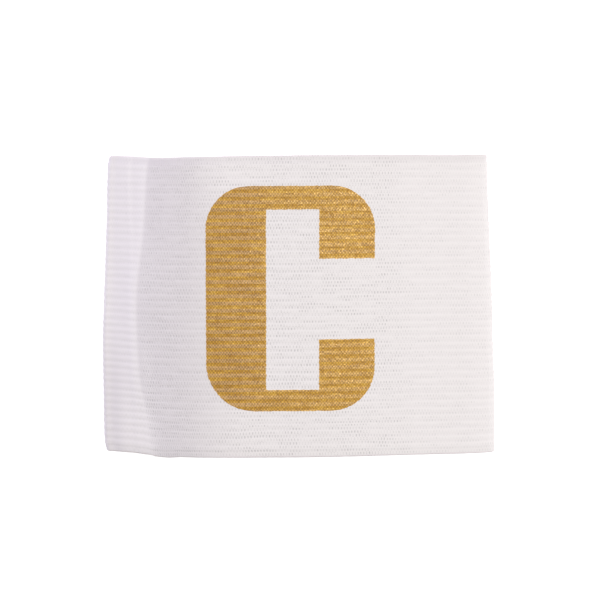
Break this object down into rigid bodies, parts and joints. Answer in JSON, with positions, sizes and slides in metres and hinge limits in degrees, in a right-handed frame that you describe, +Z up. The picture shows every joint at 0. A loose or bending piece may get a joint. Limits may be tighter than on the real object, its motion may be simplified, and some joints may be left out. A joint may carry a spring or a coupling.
{
  "type": "captain armband",
  "caption": "Wide ribbed elastic loop lying flat, with soft folds at both sides, plain selvedges and a gold glitter block letter C printed on its front layer.",
  "frame": {"origin": "on the table under the middle of the lying band", "axes": "+X along the ribs, from the tight fold to the round one; +Y from the letter's foot to its head; +Z up, out of the printed layer"},
  "size_m": [0.0991, 0.0754, 0.014],
  "materials": {
    "white_elastic": "matt white ribbed elastic webbing with a faint rose cast",
    "gold_glitter": "gold glitter transfer print"
  },
  "bodies": {
    "root": {"elastic_band": "white_elastic", "letter_print": "gold_glitter"}
  },
  "joints": []
}
